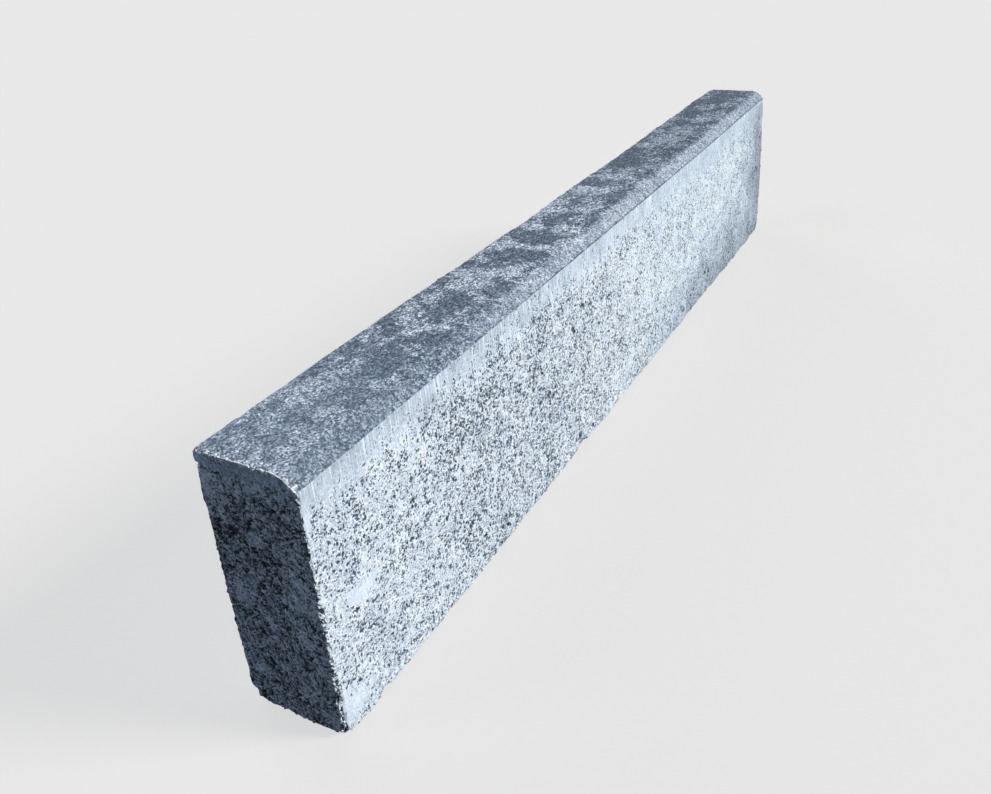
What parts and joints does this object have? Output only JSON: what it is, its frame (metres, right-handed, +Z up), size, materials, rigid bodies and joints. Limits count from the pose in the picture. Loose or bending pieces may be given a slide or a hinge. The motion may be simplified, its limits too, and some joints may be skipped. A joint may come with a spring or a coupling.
{
  "type": "concrete kerb stone",
  "caption": "Straight upright concrete kerb of plain section, with a splayed upper front edge and square ends, laid end to end to edge a road or path.",
  "frame": {"origin": "centre of the bed, halfway along the kerb, on the surface it stands on", "axes": "+X along the length, -Y out of the splayed front face, +Z up"},
  "size_m": [1, 0.08, 0.2],
  "materials": {
    "concrete": "pressed grey concrete, matt and porous"
  },
  "bodies": {
    "root": {"kerb_stone": "concrete"}
  },
  "joints": []
}
